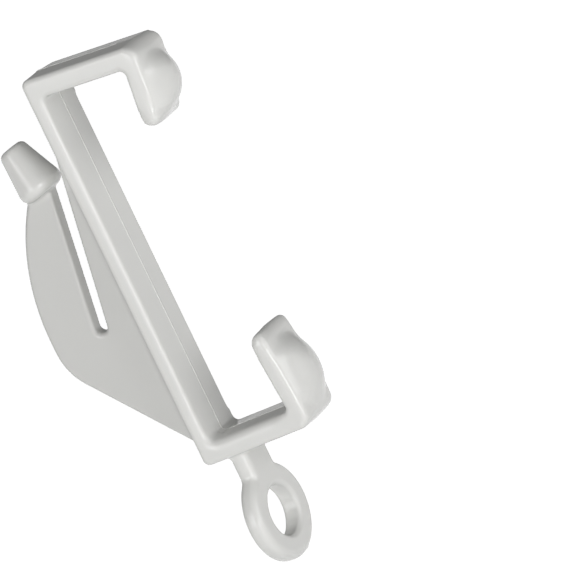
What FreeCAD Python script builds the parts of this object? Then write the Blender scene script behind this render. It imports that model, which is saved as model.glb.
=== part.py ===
import FreeCAD, Part
import math
import os

import Sketcher

# Curtain glider: one plastic moulding that clips over the front of a curtain rail. A straight spine
# carries two arms whose lips turn in behind the rail, an eye on a short stem hangs below, and a slotted
# fin on the room side ends in a knobbed prong for the curtain's heading tape.
#
# Frame, in millimetres: X runs along the rail, +Y points to the rail and -Y to the room, +Z is up. The
# origin is the middle of the rail channel. X = 0 is the mould's parting plane, so the two halves are
# drafted away from it.

NODE = "curtain_glider"

SIZES = {
    # The rail channel, measured on the parting plane
    "channel_height": 32.1,
    "channel_depth": 8.1,
    # The clip: spine, arms and lips
    "glide_width": 5.6,
    "spine_wall": 1.6,
    "arm_wall": 2.0,
    "lip_wall": 1.7,
    "upper_lip_tip_wall": 1.3,
    "lower_lip_tip_wall": 1.6,
    "arm_tilt_angle": 2.7,
    "upper_lip_lean_angle": 7.5,
    "lower_lip_lean_angle": 5.0,
    "upper_lip_reach": 5.3,
    "lower_lip_reach": 7.1,
    "draft_angle": 2.2,
    "spine_corner_radius": 0.7,
    "arm_end_radius": 1.2,
    "lip_tip_inner_share": 0.57,
    "lip_tip_outer_share": 0.4,
    "inner_corner_radius": 0.4,
    "clip_edge_radius": 0.4,
    # The crowned pads on the backs of the lips; their places and lengths are shares of the lip's reach,
    # and the hollow at their feet is a share of its width
    "upper_pad_crown": 1.55,
    "lower_pad_crown": 1.3,
    "pad_edge_height": 0.3,
    "pad_skirt": 0.3,
    "pad_run_out_angle": 5.0,
    "pad_blend_share": 0.19,
    "upper_pad_middle_share": 0.42,
    "lower_pad_middle_share": 0.345,
    "upper_pad_share": 0.50,
    "lower_pad_share": 0.45,
    # The fin and its slot
    "fin_thickness": 1.4,
    "fin_edge_radius": 0.35,
    "fin_reach": 9.93,
    "fin_foot_drop": 17.3,
    "fin_slope_angle": 46.5,
    "fin_corner_radius": 5.0,
    "fin_shoulder_height": 2.5,
    "fin_shoulder_share": 0.88,
    "prong_slope_angle": 36.5,
    "slot_width": 1.15,
    "slot_flare_angle": 0.5,
    "slot_end_share": 0.9,
    "slot_tilt_angle": 10.0,
    "slot_foot_drop": 4.6,
    "slot_foot_offset": 4.7,
    "web_top_height": 15.6,
    # The knob on the prong
    "knob_base_diameter": 4.5,
    "knob_tip_diameter": 2.45,
    "knob_length": 4.8,
    "knob_base_radius": 0.85,
    "knob_tip_radius": 0.6,
    "knob_tilt_angle": 15.8,
    "knob_set_in": 0.455,
    "knob_height": 8.25,
    "prong_in_knob": 1.0,
    # The eye below the lower arm
    "eye_diameter": 8.6,
    "eye_bore": 4.5,
    "eye_thickness": 1.8,
    "eye_edge_radius": 0.7,
    "eye_rim_chamfer": 0.25,
    "eye_drop": 6.2,
    "eye_set_back": 2.9,
    "stem_width": 4.0,
    "stem_neck_radius": 0.5,
    # How far a limb runs into the wall that carries it
    "root_overlap": 0.9,
}


def make_sheet(doc):
    """Puts the driving sizes into a sheet, one aliased cell each."""
    sheet = doc.addObject("Spreadsheet::Sheet", "sizes")
    for row, (alias, value) in enumerate(SIZES.items(), start=1):
        cell = f"A{row}"
        sheet.set(cell, str(value))
        sheet.setAlias(cell, alias)
    doc.recompute()
    return sheet


def size(alias):
    """The expression that reads one size from the sheet."""
    return f"sizes.{alias}"


def value_of(item, text):
    """The present value of an expression, as read by an object of the document."""
    return float(item.evalExpression(text))


def tangent(alias):
    """The expression for the tangent of an angle kept in the sheet."""
    return f"tan(sizes.{alias} * 1 deg)"


def cosine(alias):
    """The expression for the cosine of an angle kept in the sheet."""
    return f"cos(sizes.{alias} * 1 deg)"


# Lines of the profile on the parting plane, as expressions
HALF_HEIGHT = f"{size('channel_height')} / 2"
SPINE_INNER = f"(-{size('channel_depth')} / 2)"
SPINE_OUTER = f"(-{size('channel_depth')} / 2 - {size('spine_wall')})"
LIP_INNER = f"({size('channel_depth')} / 2)"
LIP_ROOT = f"({HALF_HEIGHT} - {size('channel_depth')} * {tangent('arm_tilt_angle')})"
LIP_OUTER = f"({LIP_INNER} + {size('lip_wall')})"
ARM_OUTER = f"({HALF_HEIGHT} + {size('arm_wall')} / {cosine('arm_tilt_angle')})"


def arm_outer_height(across):
    """Height of an arm's outer face above the channel's middle, at a given depth."""
    return f"({ARM_OUTER} - ({across} - {SPINE_INNER}) * {tangent('arm_tilt_angle')})"


def lip_back_lean(lip):
    """Tangent of the lean of a lip's outer face, which also thins the lip toward its tip."""
    thinning = f"({size('lip_wall')} - {size(lip + '_lip_tip_wall')})"
    return f"({tangent(lip + '_lip_lean_angle')} + {thinning} / {size(lip + '_lip_reach')})"


def arm_end_corner(lip):
    """Depth and height of the corner where an arm's outer face meets its lip's outer face."""
    lean = lip_back_lean(lip)
    tilt = tangent("arm_tilt_angle")
    rise = f"({arm_outer_height(LIP_OUTER)} - {LIP_ROOT}) / (1 + {lean} * {tilt})"
    return f"({LIP_OUTER} + {rise} * {lean})", f"({LIP_ROOT} + {rise})"


def plane_of(body, role):
    """One of a body's own origin planes."""
    return next(item for item in body.Origin.OriginFeatures if item.Role == role)


def new_sketch(body, name, role):
    """An empty sketch on one of the body's origin planes."""
    sketch = body.newObject("Sketcher::SketchObject", name)
    sketch.AttachmentSupport = [(plane_of(body, role), "")]
    sketch.MapMode = "FlatFace"
    return sketch


def move_sketch(sketch, across, up, angle="0"):
    """Shifts and turns a sketch in its own plane."""
    sketch.setExpression("AttachmentOffset.Base.x", across)
    sketch.setExpression("AttachmentOffset.Base.y", up)
    sketch.setExpression("AttachmentOffset.Rotation.Angle", angle)
    sketch.Document.recompute()


def constrain(sketch, *rule, bound_to=None):
    """Adds a constraint, and binds its value to an expression."""
    values = list(rule)
    if bound_to is not None:
        values.append(value_of(sketch, bound_to))
    index = sketch.addConstraint(Sketcher.Constraint(*values))
    if bound_to is not None:
        sketch.setExpression(f"Constraints[{index}]", bound_to)
    return index


def corner_turn(before, here, after):
    """Unit directions into and out of a corner, and the signed angle between them."""
    into = (here - before).normalize()
    out = (after - here).normalize()
    turn = math.atan2(into.x * out.y - into.y * out.x, into.dot(out))
    return into, out, turn


def corner_arc(here, into, out, turn, radius):
    """The arc that rounds a corner, with the points where it leaves the two sides."""
    reach = radius * math.tan(abs(turn) / 2)
    start = here - into * reach
    end = here + out * reach
    side = 1 if turn > 0 else -1
    middle = start + FreeCAD.Vector(-into.y, into.x, 0) * radius * side
    first, last = (start, end) if turn > 0 else (end, start)
    angles = [math.atan2(p.y - middle.y, p.x - middle.x) for p in (first, last)]
    circle = Part.Circle(middle, FreeCAD.Vector(0, 0, 1), radius)
    return Part.ArcOfCircle(circle, *angles), start, end


def add_arc(sketch, middle, radius, first, last):
    """An arc of a circle, counter-clockwise from one angle to another."""
    circle = Part.Circle(middle, FreeCAD.Vector(0, 0, 1), radius)
    return sketch.addGeometry(Part.ArcOfCircle(circle, first, last))


def mark_corners(sketch, corners):
    """Fixes a construction point at each corner of an outline."""
    marks = []
    for across, up, _ in corners:
        spot = FreeCAD.Vector(value_of(sketch, across), value_of(sketch, up), 0)
        mark = sketch.addGeometry(Part.Point(spot), True)
        constrain(sketch, "DistanceX", -1, 1, mark, 1, bound_to=across)
        constrain(sketch, "DistanceY", -1, 1, mark, 1, bound_to=up)
        marks.append((mark, spot))
    return marks


def draw_outline(sketch, corners):
    """A closed outline through corners (across, up, radius), each an expression.

    A corner whose radius is None stays sharp.
    """
    marks = mark_corners(sketch, corners)
    spots = [spot for _, spot in marks]
    count = len(spots)
    arcs, starts, ends = [], [], []
    for i, (spot, corner) in enumerate(zip(spots, corners)):
        into, out, turn = corner_turn(spots[i - 1], spot, spots[(i + 1) % count])
        arc, start, end = None, spot, spot
        if corner[2] is not None:
            curve, start, end = corner_arc(spot, into, out, turn, value_of(sketch, corner[2]))
            arc = (sketch.addGeometry(curve), turn > 0)
            constrain(sketch, "Radius", arc[0], bound_to=corner[2])
        arcs.append(arc)
        starts.append(start)
        ends.append(end)
    sides = []
    for i in range(count):
        side = sketch.addGeometry(Part.LineSegment(ends[i], starts[(i + 1) % count]))
        sides.append(side)
    for i, arc in enumerate(arcs):
        join_corner(sketch, marks[i][0], sides[i - 1], arc, sides[i])
    sketch.Document.recompute()


def join_corner(sketch, mark, before, arc, after):
    """Ties two sides to the point of their corner, through the arc that rounds it if there is one."""
    if arc is None:
        constrain(sketch, "Coincident", before, 2, mark, 1)
        constrain(sketch, "Coincident", after, 1, mark, 1)
        return
    first, last = (1, 2) if arc[1] else (2, 1)
    constrain(sketch, "PointOnObject", mark, 1, before)
    constrain(sketch, "PointOnObject", mark, 1, after)
    constrain(sketch, "Tangent", before, 2, arc[0], first)
    constrain(sketch, "Tangent", arc[0], last, after, 1)


def symmetric_pad(body, sketch, name, length):
    """Pads a sketch both ways from its plane."""
    pad = body.newObject("PartDesign::Pad", name)
    pad.Profile = sketch
    pad.SideType = "Symmetric"
    pad.setExpression("Length", length)
    body.Document.recompute()
    return pad


def picked_edges(shape, picked):
    """The names of the edges of a shape that a test picks."""
    return [f"Edge{i}" for i, edge in enumerate(shape.Edges, start=1) if picked(shape, edge)]


def round_edges(body, name, radius, picked):
    """Fillets the edges of the body's tip that a test picks."""
    base = body.Tip
    fillet = body.newObject("PartDesign::Fillet", name)
    fillet.Base = (base, picked_edges(base.Shape, picked))
    fillet.setExpression("Radius", radius)
    body.Document.recompute()
    return fillet


def lies_at(edge, axis, place):
    """Whether an edge lies wholly at one place along an axis."""
    box = edge.BoundBox
    low, high = (box.XMin, box.XMax) if axis == "x" else (box.YMin, box.YMax)
    return abs(low - place) < 1e-4 and abs(high - place) < 1e-4


def on_either_face(axis, middle, half):
    """A test for edges that lie wholly on one of two parallel faces."""
    def test(_, edge):
        return lies_at(edge, axis, middle - half) or lies_at(edge, axis, middle + half)
    return test


def is_crease(shape, edge):
    """Whether two faces meet at an edge with a clear change of direction."""
    spot = edge.valueAt((edge.FirstParameter + edge.LastParameter) / 2)
    normals = []
    for face in shape.ancestorsOfType(edge, Part.Face):
        normals.append(face.normalAt(*face.Surface.parameter(spot)))
    return len(normals) == 2 and normals[0].getAngle(normals[1]) > math.radians(15)


# The slotted fin and the prong on it
FIN_EDGE = f"({SPINE_OUTER} - {size('fin_reach')})"
SLOT_END = f"(-{size('slot_foot_drop')})"


def slot_side(height, sign):
    """Depth of one wall of the flaring slot at a height."""
    foot = f"({SPINE_OUTER} - {size('slot_foot_offset')})"
    half = f"{size('slot_width')} / 2 / {cosine('slot_tilt_angle')}"
    rise = f"({height} + {size('slot_foot_drop')})"
    tilt = f"tan((sizes.slot_tilt_angle {sign} sizes.slot_flare_angle) * 1 deg)"
    return f"({foot} + {rise} * {tilt} {sign} {half})"


def prong_back(height):
    """Depth of the prong's room side at a height."""
    return f"({FIN_EDGE} + ({height} - {size('fin_shoulder_height')}) * {tangent('prong_slope_angle')})"


def make_fin(body):
    """The slotted plate on the room side, with the prong that carries the knob."""
    sketch = new_sketch(body, "fin_outline", "YZ_Plane")
    inside = f"({SPINE_OUTER} + {size('root_overlap')})"
    slope = tangent("fin_slope_angle")
    foot = f"(-{size('fin_foot_drop')} - {size('fin_edge_radius')} * {slope})"
    toe = f"({SPINE_OUTER} + {size('fin_edge_radius')})"
    heel = f"(-{size('fin_foot_drop')} + {size('fin_reach')} * {slope})"
    web_top = size("web_top_height")
    prong_top = f"({size('knob_height')} + {size('prong_in_knob')})"
    corner_run = f"{size('fin_corner_radius')} * tan((90 - sizes.fin_slope_angle) / 2 * 1 deg)"
    shoulder_run = f"({size('fin_shoulder_height')} - {heel} - {corner_run}) * {size('fin_shoulder_share')}"
    shoulder_radius = f"({shoulder_run}) / tan(sizes.prong_slope_angle / 2 * 1 deg)"
    slot_round = f"({size('slot_width')} / 2 * {size('slot_end_share')})"
    draw_outline(sketch, [
        (inside, foot, None),
        (inside, web_top, None),
        (slot_side(web_top, "+"), web_top, None),
        (slot_side(SLOT_END, "+"), SLOT_END, slot_round),
        (slot_side(SLOT_END, "-"), SLOT_END, slot_round),
        (slot_side(prong_top, "-"), prong_top, None),
        (prong_back(prong_top), prong_top, None),
        (FIN_EDGE, size("fin_shoulder_height"), shoulder_radius),
        (FIN_EDGE, heel, size("fin_corner_radius")),
        (toe, foot, None),
    ])
    symmetric_pad(body, sketch, "fin", size("fin_thickness"))
    half = value_of(body, size("fin_thickness")) / 2
    round_edges(body, "fin_edges", size("fin_edge_radius"), on_either_face("x", 0, half))


def lip_corners(lip, sign):
    """Outer tip, inner tip and inner root of one lip."""
    reach = size(lip + "_lip_reach")
    tip = f"({LIP_ROOT} - {reach})"
    inner = f"{LIP_INNER} - {reach} * {tangent(lip + '_lip_lean_angle')}"
    outer = f"{LIP_OUTER} - {reach} * {lip_back_lean(lip)}"
    tip_wall = size(lip + "_lip_tip_wall")
    return [
        (outer, f"{sign} * {tip}", f"({tip_wall} * {size('lip_tip_outer_share')})"),
        (inner, f"{sign} * {tip}", f"({tip_wall} * {size('lip_tip_inner_share')})"),
        (LIP_INNER, f"{sign} * {LIP_ROOT}", size("inner_corner_radius")),
    ]


def make_clip(body):
    """Spine, arms and lips: one profile, drafted both ways from the parting plane."""
    sketch = new_sketch(body, "clip_profile", "YZ_Plane")
    upper_end = arm_end_corner("upper")
    lower_end = arm_end_corner("lower")
    spine_end = arm_outer_height(SPINE_OUTER)
    draw_outline(sketch, [
        (SPINE_OUTER, f"-1 * {spine_end}", size("spine_corner_radius")),
        (lower_end[0], f"-1 * {lower_end[1]}", size("arm_end_radius")),
        *lip_corners("lower", "-1"),
        (SPINE_INNER, f"-1 * {HALF_HEIGHT}", size("inner_corner_radius")),
        (SPINE_INNER, HALF_HEIGHT, size("inner_corner_radius")),
        *reversed(lip_corners("upper", "1")),
        (upper_end[0], upper_end[1], size("arm_end_radius")),
        (SPINE_OUTER, spine_end, size("spine_corner_radius")),
    ])
    pad = symmetric_pad(body, sketch, "clip", size("glide_width"))
    pad.setExpression("TaperAngle", f"-{size('draft_angle')}")
    body.Document.recompute()


def pad_arc(lip):
    """Radius of the arc along a pad's crest, from the pad's length and its crown."""
    half_length = f"({size(lip + '_lip_reach')} * {size(lip + '_pad_share')})"
    return f"(({half_length}^2 + {size(lip + '_pad_crown')}^2) / (2 * {size(lip + '_pad_crown')}))"


def place_pad_sketch(sketch, lip, sign):
    """Lays a sketch square to a lip's back, with its across axis where the pad's swing is centred."""
    along = f"({size(lip + '_lip_reach')} * {size(lip + '_pad_middle_share')})"
    lean = f"atan({lip_back_lean(lip)})"
    below = f"({pad_arc(lip)} - {size(lip + '_pad_crown')})"
    turned = FreeCAD.Rotation(FreeCAD.Vector(1, 0, 0), 1)
    sketch.AttachmentOffset = FreeCAD.Placement(FreeCAD.Vector(), turned)
    sketch.setExpression("AttachmentOffset.Rotation.Angle", f"-1 * {sign} * {lean}")
    sketch.setExpression("AttachmentOffset.Base.y",
                         f"{LIP_OUTER} - {along} * {lip_back_lean(lip)} - {below} * cos({lean})")
    sketch.setExpression("AttachmentOffset.Base.z",
                         f"{sign} * ({LIP_ROOT} - {along} + {below} * sin({lean}))")
    sketch.Document.recompute()


def draw_pad_section(sketch, lip):
    """The arch across a pad, as wide as the lip, on two low sides that run down into the lip."""
    half_width = f"({size('glide_width')} / 2)"
    rise = f"({size(lip + '_pad_crown')} - {size('pad_edge_height')})"
    radius = f"({half_width}^2 + {rise}^2) / (2 * {rise})"
    middle_up = f"{pad_arc(lip)} - {radius}"
    base_up = f"{pad_arc(lip)} - {size(lip + '_pad_crown')} - {size('pad_skirt')}"
    half = value_of(sketch, half_width)
    middle = FreeCAD.Vector(0, value_of(sketch, middle_up), 0)
    edge = value_of(sketch, f"{pad_arc(lip)} - {rise}")
    base = value_of(sketch, base_up)
    swing = math.atan2(edge - middle.y, half)
    crown = add_arc(sketch, middle, value_of(sketch, radius), swing, math.pi - swing)
    corners = [FreeCAD.Vector(*spot, 0) for spot in ((-half, edge), (-half, base), (half, base), (half, edge))]
    left, floor, right = (sketch.addGeometry(Part.LineSegment(*ends)) for ends in zip(corners, corners[1:]))
    constrain(sketch, "Coincident", crown, 2, left, 1)
    constrain(sketch, "Coincident", left, 2, floor, 1)
    constrain(sketch, "Coincident", floor, 2, right, 1)
    constrain(sketch, "Coincident", right, 2, crown, 1)
    constrain(sketch, "Vertical", left)
    constrain(sketch, "Vertical", right)
    constrain(sketch, "Horizontal", floor)
    constrain(sketch, "PointOnObject", crown, 3, -2)
    constrain(sketch, "Radius", crown, bound_to=radius)
    constrain(sketch, "DistanceY", -1, 1, crown, 3, bound_to=middle_up)
    constrain(sketch, "DistanceY", -1, 1, floor, 1, bound_to=base_up)
    constrain(sketch, "DistanceX", -1, 1, floor, 2, bound_to=half_width)
    constrain(sketch, "DistanceX", floor, 1, floor, 2, bound_to=size("glide_width"))
    sketch.Document.recompute()


def make_pad(body, lip, sign):
    """A crowned pad on the back of one lip: an arch swung about an axis across the lip."""
    sketch = new_sketch(body, f"{lip}_pad_section", "XY_Plane")
    place_pad_sketch(sketch, lip, sign)
    draw_pad_section(sketch, lip)
    below = f"({pad_arc(lip)} - {size(lip + '_pad_crown')})"
    pad = body.newObject("PartDesign::Revolution", f"{lip}_pad")
    pad.Profile = sketch
    pad.ReferenceAxis = (sketch, ["H_Axis"])
    pad.Midplane = True
    pad.setExpression("Angle", f"2 * acos({below} / {pad_arc(lip)}) + 2 * {size('pad_run_out_angle')} * 1 deg")
    body.Document.recompute()


def round_clip(body):
    """Runs each pad out into its lip, then rolls the clip's side edges over, pads and all."""
    behind = value_of(body, LIP_INNER)
    on_side = on_either_face("x", 0, value_of(body, size("glide_width")) / 2)

    def at_pad_foot(shape, edge):
        """Whether an edge is part of the crease round a pad."""
        return edge.CenterOfMass.y > behind and not on_side(shape, edge) and is_crease(shape, edge)

    blend = f"{size('glide_width')} * {size('pad_blend_share')}"
    round_edges(body, "pad_blends", blend, at_pad_foot)
    round_edges(body, "clip_edges", size("clip_edge_radius"), on_side)


def make_knob(body):
    """The blunt cone on the prong, turned about its own leaning axis."""
    sketch = new_sketch(body, "knob_section", "YZ_Plane")
    height = size("knob_height")
    prong_middle = f"({slot_side(height, '-')} + {prong_back(height)}) / 2"
    move_sketch(sketch, f"{prong_middle} + {size('knob_set_in')}", height, size("knob_tilt_angle"))
    draw_outline(sketch, [
        ("0", "0", None),
        (f"{size('knob_base_diameter')} / 2", "0", size("knob_base_radius")),
        (f"{size('knob_tip_diameter')} / 2", size("knob_length"), size("knob_tip_radius")),
        ("0", size("knob_length"), None),
    ])
    knob = body.newObject("PartDesign::Revolution", "knob")
    knob.Profile = sketch
    knob.ReferenceAxis = (sketch, ["V_Axis"])
    knob.Angle = 360
    body.Document.recompute()


# The eye: the plane it lies in, the underside of the arm there, its centre and its stem's root
EYE_DEPTH = f"({SPINE_OUTER} + {size('eye_set_back')})"
UNDER_ARM = f"(-1 * {arm_outer_height(EYE_DEPTH)})"
EYE_UP = f"({UNDER_ARM} - {size('eye_drop')})"
STEM_ROOT = f"({UNDER_ARM} + {size('root_overlap')})"


def eye_sketch(body, name):
    """An empty sketch in the eye's own plane."""
    sketch = new_sketch(body, name, "XZ_Plane")
    sketch.setExpression("AttachmentOffset.Base.z", f"-1 * {EYE_DEPTH}")
    body.Document.recompute()
    return sketch


def draw_eye_outline(sketch):
    """The eye's rim running through two small necks into the sides of its stem."""
    middle = FreeCAD.Vector(0, value_of(sketch, EYE_UP), 0)
    rim = value_of(sketch, size("eye_diameter")) / 2
    half = value_of(sketch, size("stem_width")) / 2
    neck = value_of(sketch, size("stem_neck_radius"))
    root = value_of(sketch, STEM_ROOT)
    neck_up = middle.y + math.sqrt((rim + neck) ** 2 - (half + neck) ** 2)
    angle = math.atan2(neck_up - middle.y, half + neck)
    right_middle = FreeCAD.Vector(half + neck, neck_up, 0)
    left_middle = FreeCAD.Vector(-half - neck, neck_up, 0)
    ring = add_arc(sketch, middle, rim, math.pi - angle, 2 * math.pi + angle)
    right_neck = add_arc(sketch, right_middle, neck, math.pi, math.pi + angle)
    left_neck = add_arc(sketch, left_middle, neck, -angle, 0)
    right_foot, right_root = FreeCAD.Vector(half, neck_up, 0), FreeCAD.Vector(half, root, 0)
    left_foot, left_root = FreeCAD.Vector(-half, neck_up, 0), FreeCAD.Vector(-half, root, 0)
    right = sketch.addGeometry(Part.LineSegment(right_foot, right_root))
    top = sketch.addGeometry(Part.LineSegment(right_root, left_root))
    left = sketch.addGeometry(Part.LineSegment(left_root, left_foot))
    constrain(sketch, "Tangent", ring, 2, right_neck, 2)
    constrain(sketch, "Tangent", right_neck, 1, right, 1)
    constrain(sketch, "Coincident", right, 2, top, 1)
    constrain(sketch, "Coincident", top, 2, left, 1)
    constrain(sketch, "Tangent", left, 2, left_neck, 2)
    constrain(sketch, "Tangent", left_neck, 1, ring, 1)
    constrain(sketch, "Vertical", right)
    constrain(sketch, "Vertical", left)
    constrain(sketch, "PointOnObject", ring, 3, -2)
    constrain(sketch, "Symmetric", right, 2, left, 1, -2)
    constrain(sketch, "Equal", right_neck, left_neck)
    constrain(sketch, "DistanceY", -1, 1, ring, 3, bound_to=EYE_UP)
    constrain(sketch, "DistanceY", -1, 1, right, 2, bound_to=STEM_ROOT)
    constrain(sketch, "Radius", ring, bound_to=f"{size('eye_diameter')} / 2")
    constrain(sketch, "Radius", right_neck, bound_to=size("stem_neck_radius"))
    constrain(sketch, "DistanceX", left, 1, right, 2, bound_to=size("stem_width"))
    sketch.Document.recompute()


def on_eye_faces(body):
    """A test for edges on the front or the back of the eye."""
    return on_either_face("y", value_of(body, EYE_DEPTH), value_of(body, size("eye_thickness")) / 2)


def make_eye(body):
    """The flat eye and its stem, hung from the lower arm, with its edges rounded over."""
    sketch = eye_sketch(body, "eye_outline")
    draw_eye_outline(sketch)
    symmetric_pad(body, sketch, "eye", size("eye_thickness"))
    on_face = on_eye_faces(body)
    below = value_of(body, UNDER_ARM) - 1e-3
    round_edges(body, "eye_edges", size("eye_edge_radius"),
                lambda shape, edge: on_face(shape, edge) and edge.BoundBox.ZMin < below)


def is_rim(edge, radius):
    """Whether an edge reaches exactly as far out as a hole's rim."""
    return abs(edge.BoundBox.XMax - radius) < 1e-3


def make_eye_bore(body):
    """The hole through the eye, with its two rims eased."""
    sketch = eye_sketch(body, "bore_circle")
    radius = f"{size('eye_bore')} / 2"
    hole = value_of(body, radius)
    middle = FreeCAD.Vector(0, value_of(body, EYE_UP), 0)
    circle = sketch.addGeometry(Part.Circle(middle, FreeCAD.Vector(0, 0, 1), hole))
    constrain(sketch, "PointOnObject", circle, 3, -2)
    constrain(sketch, "DistanceY", -1, 1, circle, 3, bound_to=EYE_UP)
    constrain(sketch, "Radius", circle, bound_to=radius)
    body.Document.recompute()
    bore = body.newObject("PartDesign::Pocket", "eye_bore")
    bore.Profile = sketch
    bore.SideType = "Symmetric"
    bore.setExpression("Length", f"{size('eye_thickness')} * 2")
    body.Document.recompute()
    on_face = on_eye_faces(body)
    names = picked_edges(bore.Shape, lambda shape, edge: on_face(shape, edge) and is_rim(edge, hole))
    rims = body.newObject("PartDesign::Chamfer", "bore_rims")
    rims.Base = (bore, names)
    rims.setExpression("Size", size("eye_rim_chamfer"))
    body.Document.recompute()


def check(doc, body):
    """Stops if any feature failed, or the moulding is not one sound solid."""
    for item in doc.Objects:
        if "Invalid" in item.State or "Error" in item.State:
            raise RuntimeError(f"{item.Label} failed: {item.State}")
    steps = [item for item in body.Group if item.isDerivedFrom("PartDesign::Feature")]
    for before, after in zip(steps, steps[1:]):
        if abs(after.Shape.Volume - before.Shape.Volume) < 1e-3:
            raise RuntimeError(f"{after.Label} changed nothing")
    shape = body.Shape
    if shape.isNull() or not shape.isValid() or len(shape.Solids) != 1:
        raise RuntimeError("the moulding is not one valid solid")


def main():
    """Builds the moulding feature by feature and writes it."""
    doc = FreeCAD.newDocument("curtain_glider_part")
    make_sheet(doc)
    body = doc.addObject("PartDesign::Body", NODE)
    body.Label = NODE
    body.Placement = FreeCAD.Placement()
    make_fin(body)
    make_clip(body)
    make_pad(body, "upper", "1")
    make_pad(body, "lower", "-1")
    round_clip(body)
    make_knob(body)
    make_eye(body)
    make_eye_bore(body)
    doc.recompute()
    check(doc, body)
    os.makedirs("parts", exist_ok=True)
    body.Shape.exportStep(f"parts/{NODE}.step")
    print(NODE, "volume", round(body.Shape.Volume, 2), "box", body.Shape.BoundBox)


main()
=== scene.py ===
# %% [markdown]
# # A curtain glider, moulded in white nylon
# The glider is one small plastic moulding that clips over a curtain rail. Its shape is already
# there as a solid, so this lesson loads that solid as a fixed frame and gives it what a solid has
# no room for: the finish of moulded nylon, the fine line where the two halves of the mould met, the
# scar where the plastic came in, and the light of a small studio.

import math

import bmesh
import bpy
from mathutils import Matrix, Vector


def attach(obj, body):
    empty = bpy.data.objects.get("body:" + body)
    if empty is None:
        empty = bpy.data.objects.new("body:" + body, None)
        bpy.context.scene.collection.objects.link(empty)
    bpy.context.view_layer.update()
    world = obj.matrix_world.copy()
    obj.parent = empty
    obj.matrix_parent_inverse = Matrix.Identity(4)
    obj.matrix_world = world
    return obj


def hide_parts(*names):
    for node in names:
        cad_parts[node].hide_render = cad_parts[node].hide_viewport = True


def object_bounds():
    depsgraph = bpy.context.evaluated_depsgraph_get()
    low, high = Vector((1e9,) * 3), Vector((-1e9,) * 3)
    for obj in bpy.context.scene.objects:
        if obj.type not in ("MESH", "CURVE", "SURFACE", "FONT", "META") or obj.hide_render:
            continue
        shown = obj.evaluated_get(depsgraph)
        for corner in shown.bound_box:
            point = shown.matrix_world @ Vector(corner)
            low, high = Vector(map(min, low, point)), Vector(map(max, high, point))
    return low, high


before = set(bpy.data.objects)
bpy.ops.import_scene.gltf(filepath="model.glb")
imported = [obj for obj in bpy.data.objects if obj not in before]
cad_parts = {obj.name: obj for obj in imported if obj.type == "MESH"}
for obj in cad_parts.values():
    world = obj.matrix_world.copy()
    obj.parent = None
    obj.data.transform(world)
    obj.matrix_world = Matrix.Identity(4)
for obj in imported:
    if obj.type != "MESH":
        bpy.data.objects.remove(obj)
cad_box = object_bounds()
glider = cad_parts["curtain_glider"]
MM = 0.001
print("glider", len(glider.data.polygons), "faces, from", *cad_box)

# %% [markdown]
# ## Colours
# Colours are written as the hex values that a paint chart would give. Shaders work in linear light,
# so one function turns each hex value into linear numbers.


# %% Turn a hex colour into linear light
def linear(hex_colour):
    """The linear RGBA of an sRGB hex colour such as "#D9D8D4"."""
    channels = [int(hex_colour[i:i + 2], 16) / 255 for i in (1, 3, 5)]
    lit = [c / 12.92 if c <= 0.04045 else ((c + 0.055) / 1.055) ** 2.4 for c in channels]
    return (*lit, 1.0)


WHITE = linear("#FFFFFF")
NYLON_WHITE = linear("#E4E4E1")
print("white nylon is", [round(c, 3) for c in NYLON_WHITE])

# %% [markdown]
# ## Adding nodes
# A material is a small graph. One function adds any node, sets its values and links its inputs, so
# that each material below reads as a list of what it is made of. Some nodes give two inputs the
# same name, so inputs can also be given by their number.


# %% Add a node with its settings and links
def add_node(tree, kind, settings=None, numbered=None, **named):
    """Adds a node; settings are its properties, and its inputs are values or other sockets."""
    node = tree.nodes.new(kind)
    for name, value in (settings or {}).items():
        setattr(node, name, value)
    inputs = {name.replace("_", " "): value for name, value in named.items()}
    for key, value in {**(numbered or {}), **inputs}.items():
        if isinstance(value, bpy.types.NodeSocket):
            tree.links.new(value, node.inputs[key])
        else:
            node.inputs[key].default_value = value
    return node


def new_material(name):
    """An empty material and its tree."""
    material = bpy.data.materials.new(name)
    material.use_nodes = True
    material.node_tree.nodes.clear()
    return material, material.node_tree


print("one function for every node")

# %% [markdown]
# ## Injection-moulded nylon
# Nylon straight from the mould is a milky white with a soft gloss. The mould's own polish leaves it
# slightly uneven, so the gloss breaks up over a millimetre or so, and a faint orange peel bends the
# highlights. The fin behind the bar, below the knob, is painted a shade greyer than the rest:
# painted shade that stands for the light its thin wall lets through. A noise for each of the two
# scales is enough, and all patterns read Object coordinates, so that they stay on the part.

# %% Make the nylon
# Painted shade: a greyer nylon for the fin, standing for light lost through its thin wall.
FIN_PAINTED_SHADE_GREY = linear("#D4D4D1")
NYLON_IOR = 1.53
POLISH_PATCH = 1.6 * MM
SHINY, DULL = 0.17, 0.23
ORANGE_PEEL = 0.55 * MM
PEEL_HEIGHT = 0.0012 * MM
FIN_SHADE_FADES_IN = {"From_Min": -5.2 * MM, "From_Max": -6.4 * MM}
FIN_SHADE_ENDS_BELOW_KNOB = {"From_Min": 8.6 * MM, "From_Max": 7.6 * MM}
NOISE_SPAN = {"From_Min": 0.3, "From_Max": 0.7}

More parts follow.
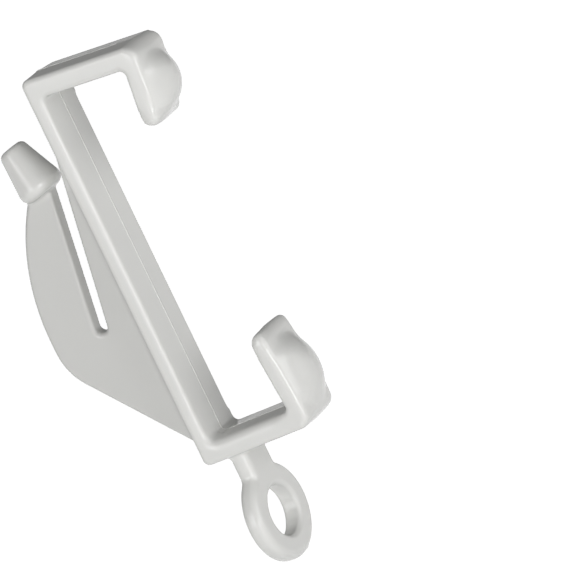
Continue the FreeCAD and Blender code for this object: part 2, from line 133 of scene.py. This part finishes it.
nylon, tree = new_material("injection-moulded white nylon, semi-gloss")
place = add_node(tree, "ShaderNodeTexCoord").outputs["Object"]
across = add_node(tree, "ShaderNodeSeparateXYZ", Vector=place)
behind_bar = add_node(tree, "ShaderNodeMapRange", Value=across.outputs["Y"], **FIN_SHADE_FADES_IN)
below_knob = add_node(tree, "ShaderNodeMapRange", Value=across.outputs["Z"], **FIN_SHADE_ENDS_BELOW_KNOB)
# Painted shade mask: 1 on the fin behind the bar and below the knob, 0 elsewhere.
fin_shade_mask = add_node(tree, "ShaderNodeMath", {"operation": "MULTIPLY"},
                    {0: behind_bar.outputs["Result"], 1: below_knob.outputs["Result"]})
colour = add_node(tree, "ShaderNodeMix", {"data_type": "RGBA"}, Factor=fin_shade_mask.outputs["Value"],
                  A=NYLON_WHITE, B=FIN_PAINTED_SHADE_GREY)
patches = add_node(tree, "ShaderNodeTexNoise", Vector=place, Scale=1 / POLISH_PATCH, Detail=2.0)
gloss = add_node(tree, "ShaderNodeMapRange", Value=patches.outputs["Fac"], **NOISE_SPAN,
                 To_Min=SHINY, To_Max=DULL)
peel = add_node(tree, "ShaderNodeTexNoise", Vector=place, Scale=1 / ORANGE_PEEL, Detail=1.0)
bump = add_node(tree, "ShaderNodeBump", Height=peel.outputs["Fac"], Strength=1.0,
                Distance=PEEL_HEIGHT)
skin = add_node(tree, "ShaderNodeBsdfPrincipled", Base_Color=colour.outputs["Result"],
                Roughness=gloss.outputs["Result"], IOR=NYLON_IOR, Normal=bump.outputs["Normal"])
add_node(tree, "ShaderNodeOutputMaterial", Surface=skin.outputs["BSDF"])
print("nylon of", len(tree.nodes), "nodes")

# %% [markdown]
# ## An even skin
# The solid's mesh has long thin triangles on its flats and tiny ones on its roundings, which is no
# good for sculpting. A merged copy, remeshed on a fine grid, has the same shape in small even
# faces, and it stands for the solid from here on. The grid is less than half the size of the
# solid's edge roundings, so that the edges keep their shape.


# %% Remesh a copy of the solid
def add_piece(name, shape, material):
    """Turns a bmesh into a piece that moves with the glider."""
    mesh = bpy.data.meshes.new(name)
    shape.to_mesh(mesh)
    shape.free()
    mesh.materials.append(material)
    piece = bpy.data.objects.new(name, mesh)
    bpy.context.scene.collection.objects.link(piece)
    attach(piece, "root")
    return piece


GRID = 0.14 * MM
SAME_POINT = 0.0005 * MM

shape = bmesh.new()
shape.from_mesh(glider.data)
bmesh.ops.remove_doubles(shape, verts=shape.verts, dist=SAME_POINT)
moulding = add_piece("moulding", shape, nylon)
even = moulding.modifiers.new("even", "REMESH")
even.mode = "VOXEL"
even.voxel_size = GRID
remeshed = moulding.evaluated_get(bpy.context.evaluated_depsgraph_get())
even_mesh = bpy.data.meshes.new_from_object(remeshed)
moulding.modifiers.clear()
print("skin of", len(even_mesh.polygons), "faces")

# %% [markdown]
# ## Straight edges on the lips
# On the real glider the side of each lip ends in a straight edge, and the crown swells behind it.
# The solid's crown also lifts that edge a little, so it waves by about 0.3 mm. Each lip's edge on
# the +X side is pulled onto a straight line. First the edge is measured in short steps along the
# lip. Then every point near it moves by what its step is off the line, and the pull fades out
# towards the far half of the lip, towards its inner face and past its foot.


# %% Measure a lip's edge
EDGE_BAND = (2.55 * MM, 2.75 * MM)
EDGE_STEP = 0.25 * MM
CHANNEL_SIDE = 2.0 * MM


def ease(value):
    """0 to 1 along an S-shaped curve, and flat beyond both ends."""
    value = min(max(value, 0.0), 1.0)
    return value * value * (3 - 2 * value)


def between(ends, share):
    """The value that lies at a share of the way from one end to the other."""
    return ends[0] + (ends[1] - ends[0]) * share


def edge_heights(shape, low, high, steps):
    """How far out the lip's edge lies in each of the steps from low to high."""
    heights = [0.0] * steps
    for vert in shape.verts:
        on_edge = EDGE_BAND[0] < vert.co.x < EDGE_BAND[1] and vert.co.y > CHANNEL_SIDE
        if on_edge and low <= vert.co.z < high:
            step = int((vert.co.z - low) / (high - low) * steps)
            heights[step] = max(heights[step], vert.co.y)
    return heights


print("edges are measured every", EDGE_STEP / MM, "mm")

# %% [markdown]
# The line that an edge should follow, and the inner face behind it, are given in millimetres at the
# lip's foot, beside the arm, and near its tip.

# %% Pull each edge onto its line
UPPER_LIP = {"foot": 16.5, "tip": 10.9, "edge": (5.91, 5.14), "inner": (4.26, 3.53)}
LOWER_LIP = {"foot": -16.4, "tip": -9.1, "edge": (5.76, 5.17), "inner": (4.21, 3.58)}
LIPS_BEGIN = 3.0 * MM
BEFORE_FOOT, PAST_TIP = -0.3, 1.2
PULL_STARTS = -0.5 * MM
PULL_RISES_OVER = 2.2 * MM
FULL_PULL_DEPTH = 0.75
FOOT_FADE = 0.22


def straighten(shape, lip):
    """Pulls the +X edge of a lip onto its straight line, and counts the points of the lip."""
    foot, tip = lip["foot"] * MM, lip["tip"] * MM
    edge_line = [height * MM for height in lip["edge"]]
    inner_line = [height * MM for height in lip["inner"]]
    low, high = min(foot, tip), max(foot, tip)
    steps = int((high - low) / EDGE_STEP)
    heights = edge_heights(shape, low, high, steps)
    points = 0
    for vert in shape.verts:
        along = (vert.co.z - foot) / (tip - foot)
        if vert.co.y < LIPS_BEGIN or along < BEFORE_FOOT or along > PAST_TIP:
            continue
        spot = (vert.co.z - low) / (high - low) * steps - 0.5
        spot = min(max(spot, 0.0), steps - 1.001)
        edge = between(heights[int(spot):int(spot) + 2], spot - int(spot))
        inner = between(inner_line, along)
        off_line = between(edge_line, min(along, 1.0)) - edge
        sideways = ease((vert.co.x - PULL_STARTS) / PULL_RISES_OVER)
        outward = ease((vert.co.y - inner) / (FULL_PULL_DEPTH * (edge - inner)))
        vert.co.y += off_line * sideways * outward * ease((along + FOOT_FADE) / FOOT_FADE)
        points += 1
    return points


shape = bmesh.new()
shape.from_mesh(even_mesh)
upper = straighten(shape, UPPER_LIP)
lower = straighten(shape, LOWER_LIP)
print("lips of", upper, "and", lower, "points straightened")

# %% [markdown]
# ## A polished mould
# A polished mould leaves no sharp change of slope, so a few rounds of smoothing let the shape run
# out softly where the glider is softest: on the crowns, at the tips of the lips, along the far edge
# of the bar's inner face and round the lower inner corner. At the tips and in the corner the rounds
# reach less far each time, so that the smoothing has no visible end. Places are in millimetres.

# %% Smooth the skin and put it in the solid's place
CROWN_STARTS = 4.9
LIP_INSIDE = 3.2
LOWER_TIP, UPPER_TIP = -9.4, 11.0
TIP_REACHES = (1.2, 0.6, 0.0)
FAR_HALF, NEAR_HALF = -1.0, 0.8
BAR_FACE = (-4.7, -3.0)
BAR_REACH = 15.0
CORNER_BACK, CORNER_BOTTOM = -5.0, -17.4
CORNER_FRONTS_AND_TOPS = ((3.4, -11.0), (2.8, -13.0))


def smooth(shape, rounds, chosen):
    """Relaxes the points that are chosen by their place, once for each round."""
    verts = [vert for vert in shape.verts if chosen(*(vert.co / MM))]
    for _ in range(rounds):
        bmesh.ops.smooth_vert(shape, verts=verts, factor=0.5,
                              use_axis_x=True, use_axis_y=True, use_axis_z=True)
    return len(verts)


crowns = smooth(shape, 20, lambda x, y, z: y > CROWN_STARTS)
for reach in TIP_REACHES:
    smooth(shape, 10, lambda x, y, z: y > LIP_INSIDE and LOWER_TIP - reach < z < UPPER_TIP + reach)
smooth(shape, 30, lambda x, y, z: x < FAR_HALF and BAR_FACE[0] < y < BAR_FACE[1]
       and abs(z) < BAR_REACH)
for front, top in CORNER_FRONTS_AND_TOPS:
    smooth(shape, 20, lambda x, y, z: x > NEAR_HALF and CORNER_BACK < y < front
           and CORNER_BOTTOM < z < top)
for face in shape.faces:
    face.smooth = True
shape.to_mesh(moulding.data)
shape.free()
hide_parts("curtain_glider")
print("crowns of", crowns, "points smoothed")

# %% [markdown]
# ## The parting line
# Where the two halves of the mould met, plastic crept a few hundredths of a millimetre into the
# joint and left a fine raised line, in the plane X = 0. The line has its own gloss, and its nylon
# is painted a shade whiter than the rest as a painted highlight, so that the line reads bright.

# %% Make the nylon of the line
# Painted highlight: a whiter nylon, so that the parting line reads as a bright line.
FLASH_HIGHLIGHT_WHITE = linear("#EFEFEC")
FLASH_PATCH = 0.8 * MM
FLASH_SHINY, FLASH_DULL = 0.16, 0.28

flash, tree = new_material("thin nylon flash, glossy where the mould halves met")
place = add_node(tree, "ShaderNodeTexCoord").outputs["Object"]
patches = add_node(tree, "ShaderNodeTexNoise", Vector=place, Scale=1 / FLASH_PATCH, Detail=1.0)
gloss = add_node(tree, "ShaderNodeMapRange", Value=patches.outputs["Fac"], **NOISE_SPAN,
                 To_Min=FLASH_SHINY, To_Max=FLASH_DULL)
skin = add_node(tree, "ShaderNodeBsdfPrincipled", Base_Color=FLASH_HIGHLIGHT_WHITE,
                Roughness=gloss.outputs["Result"], IOR=NYLON_IOR)
add_node(tree, "ShaderNodeOutputMaterial", Surface=skin.outputs["BSDF"])
print("flash of", len(tree.nodes), "nodes")

# %% [markdown]
# The line could be drawn as a curve, but the skin already knows the way. Two cuts through a copy of
# it, one each side of the joint, keep a narrow ribbon. Three more take away the fin, the eye and
# the lips, which were polished clean. A Solidify modifier then raises what is left on the bar and
# the arms.

# %% Cut the ribbon of skin along the joint
JOINT_WIDTH = 0.14 * MM
JOINT_HEIGHT = 0.03 * MM
CLIP_BOTTOM = -17.6 * MM
CLIP_BACK = -5.2 * MM
CLIP_FRONT = 3.0 * MM
ON_THE_CUT = 0.0002 * MM
CUTS_AND_WAYS_OUT = (
    ((-JOINT_WIDTH / 2, 0, 0), (-1, 0, 0)),
    ((JOINT_WIDTH / 2, 0, 0), (1, 0, 0)),
    ((0, 0, CLIP_BOTTOM), (0, 0, -1)),
    ((0, CLIP_BACK, 0), (0, -1, 0)),
    ((0, CLIP_FRONT, 0), (0, 1, 0)),
)

ribbon = bmesh.new()
ribbon.from_mesh(moulding.data)
for cut, way_out in CUTS_AND_WAYS_OUT:
    bmesh.ops.bisect_plane(ribbon, geom=[*ribbon.verts, *ribbon.edges, *ribbon.faces],
                           dist=ON_THE_CUT, plane_co=cut, plane_no=way_out, clear_outer=True)
parting_line = add_piece("parting_line", ribbon, flash)
raised = parting_line.modifiers.new("raised", "SOLIDIFY")
raised.thickness = 2 * JOINT_HEIGHT
raised.offset = 0.0
print("parting line of", len(parting_line.data.polygons), "faces")

# %% [markdown]
# ## The gate scar
# The plastic entered at the bottom of the eye, and where the runner was twisted off it left a small
# stub. A short cone with softened edges, set into the rim and pointing away from the eye's middle,
# is all that is left of it.

# %% Set the stub into the rim
EYE_MIDDLE = Vector((0, -2.75, -24.19)) * MM
EYE_RIM = 4.3 * MM
STUB_WIDTH = 0.9 * MM
STUB_END_WIDTH = 0.72 * MM
STUB_HEIGHT = 0.16 * MM
STUB_ROUNDING = 0.05 * MM
STUB_ANGLE = math.radians(20)

stub = bmesh.new()
bmesh.ops.create_cone(stub, cap_ends=True, segments=24, radius1=STUB_WIDTH / 2,
                      radius2=STUB_END_WIDTH / 2, depth=2 * STUB_HEIGHT)
bmesh.ops.bevel(stub, geom=stub.edges, offset=STUB_ROUNDING, affect="EDGES", segments=2,
                profile=0.5, material=-1)
outward = Vector((-math.sin(STUB_ANGLE), 0, -math.cos(STUB_ANGLE)))
turn = outward.to_track_quat("Z", "Y").to_matrix()
bmesh.ops.rotate(stub, verts=stub.verts, cent=(0, 0, 0), matrix=turn)
bmesh.ops.translate(stub, verts=stub.verts, vec=EYE_MIDDLE + outward * EYE_RIM)
gate_scar = add_piece("gate_scar", stub, nylon)
print("gate scar of", len(gate_scar.data.polygons), "faces")

# %% [markdown]
# ## The floor
# The floor is a sheet of white paper that takes light and shadow as paper does. A glow, seen only
# by the camera, in reflections and through clear things, lifts it to white without lighting the
# glider.


# %% Make the paper
def seen_directly(tree):
    """1 for rays from the camera, from a reflection or through something clear, and otherwise 0."""
    ray = add_node(tree, "ShaderNodeLightPath")
    seen = ray.outputs["Is Camera Ray"]
    for kind in ("Is Glossy Ray", "Is Transmission Ray"):
        larger = add_node(tree, "ShaderNodeMath", {"operation": "MAXIMUM"},
                          {0: seen, 1: ray.outputs[kind]})
        seen = larger.outputs["Value"]
    return seen


PAPER_WHITE = linear("#F4F4F4")
FLOOR_GLOW = 0.90

paper, tree = new_material("white paper, matt")
sheet = add_node(tree, "ShaderNodeBsdfDiffuse", Color=PAPER_WHITE)
glow_level = add_node(tree, "ShaderNodeMath", {"operation": "MULTIPLY"},
                      {0: seen_directly(tree), 1: FLOOR_GLOW})
glow = add_node(tree, "ShaderNodeEmission", Color=WHITE, Strength=glow_level.outputs["Value"])
both = add_node(tree, "ShaderNodeAddShader", None,
                {0: sheet.outputs["BSDF"], 1: glow.outputs["Emission"]})
add_node(tree, "ShaderNodeOutputMaterial", Surface=both.outputs["Shader"])
print("paper of", len(tree.nodes), "nodes")

# %% [markdown]
# The glider hangs on its rail, so the floor lies well below it. It reaches far enough that no edge
# of it shows from above.

# %% Lay the floor
FLOOR_DROP = 150 * MM
FLOOR_SIDE = 6.0

shape = bmesh.new()
bmesh.ops.create_grid(shape, x_segments=1, y_segments=1, size=FLOOR_SIDE / 2)
bmesh.ops.translate(shape, verts=shape.verts, vec=(0, 0, cad_box[0].z - FLOOR_DROP))
mesh = bpy.data.meshes.new("floor")
shape.to_mesh(mesh)
shape.free()
mesh.materials.append(paper)
floor = bpy.data.objects.new("floor", mesh)
bpy.context.scene.collection.objects.link(floor)
print("floor", FLOOR_DROP / MM, "mm below the glider")

# %% [markdown]
# ## Lamps
# Something that is white all over shows its shape only by how much light each side gets. A soft key
# lamp stands at the +X side and lights the flats of the fin and the bar. A second soft lamp on the
# rail side lights the crowns and the bar's inner face. A large, weak fill behind the camera keeps
# the shades open, and a narrow strip draws a fine highlight along the rounded edges. None of them
# stands high, so the tops of the arms stay darker.


# %% Set up the lamps
AIM = Vector((0, 0, -5 * MM))


def soft_lamp(name, place, width, height, power):
    """A flat area lamp that looks at the glider."""
    light = bpy.data.lights.new(name, "AREA")
    light.shape = "RECTANGLE"
    light.size = width
    light.size_y = height
    light.energy = power
    lamp = bpy.data.objects.new(name, light)
    lamp.location = place
    lamp.rotation_euler = (AIM - Vector(place)).to_track_quat("-Z", "Y").to_euler()
    bpy.context.scene.collection.objects.link(lamp)
    return lamp


lamps = [
    soft_lamp("key lamp", (0.583, -0.212, 0.09), width=0.30, height=0.30, power=1.05),
    soft_lamp("rail-side lamp", (0.15, 0.60, 0.10), width=0.40, height=0.40, power=1.25),
    soft_lamp("fill lamp", (0.80, 0.40, 0.30), width=0.60, height=0.60, power=0.7),
    soft_lamp("strip lamp", (0.50, 0.35, -0.06), width=0.05, height=0.22, power=0.75),
]
for lamp in lamps:
    print(lamp.name, round(lamp.data.energy, 2), "W")

# %% [markdown]
# ## The room
# A dim, even room fills the shadows. Low down, where the floor ends, it turns to white for the same
# rays that see the floor's glow, so that a level view has a white background too. Higher up it
# stays dim for them, because the tops of the arms would mirror a white wall.

# %% Make the room
ROOM_LIGHT = 0.18
BACKDROP_FADES = {"From_Min": 0.12, "From_Max": 0.07}

world = bpy.data.worlds.new("dim room")
bpy.context.scene.world = world
world.use_nodes = True
tree = world.node_tree
tree.nodes.clear()
room = add_node(tree, "ShaderNodeBackground", Color=WHITE, Strength=ROOM_LIGHT)
white = add_node(tree, "ShaderNodeBackground", Color=WHITE, Strength=1.0)
way = add_node(tree, "ShaderNodeTexCoord")
height = add_node(tree, "ShaderNodeSeparateXYZ", Vector=way.outputs["Generated"])
low = add_node(tree, "ShaderNodeMapRange", Value=height.outputs["Z"], **BACKDROP_FADES)
backdrop = add_node(tree, "ShaderNodeMath", {"operation": "MULTIPLY"},
                    {0: seen_directly(tree), 1: low.outputs["Result"]})
mixed = add_node(tree, "ShaderNodeMixShader", None,
                 {0: backdrop.outputs["Value"], 1: room.outputs["Background"],
                  2: white.outputs["Background"]})
add_node(tree, "ShaderNodeOutputWorld", Surface=mixed.outputs["Shader"])
bpy.context.scene.view_settings.view_transform = "Standard"
print("room of", len(tree.nodes), "nodes")

# %% [markdown]
# ## Camera
# A long lens, far off, looks in at the open side of the channel from a little above and is rolled,
# so that the glider leans to the left.

# %% Place the camera
CAMERA_PLACE = Vector((329.33, 209.345, 59.6)) * MM
CAMERA_RIGHT = Vector((-0.40935, 0.80692, -0.42581))
CAMERA_UP = Vector((-0.35393, 0.28971, 0.88927))
CAMERA_BACK = Vector((0.84093, 0.51473, 0.167))
SENSOR_WIDTH_IN_MM = 36.0
FOCAL_LENGTH_IN_MM = 300.2
NEAREST, FARTHEST = 0.01, 20.0

lens = bpy.data.cameras.new("camera")
lens.sensor_fit = "HORIZONTAL"
lens.sensor_width = SENSOR_WIDTH_IN_MM
lens.lens = FOCAL_LENGTH_IN_MM
lens.clip_start = NEAREST
lens.clip_end = FARTHEST
camera = bpy.data.objects.new("camera", lens)
turn = Matrix((CAMERA_RIGHT, CAMERA_UP, CAMERA_BACK)).transposed()
camera.matrix_world = Matrix.LocRotScale(CAMERA_PLACE, turn.to_quaternion(), None)
bpy.context.scene.collection.objects.link(camera)
bpy.context.scene.camera = camera
print("camera", round(CAMERA_PLACE.length / MM), "mm away")
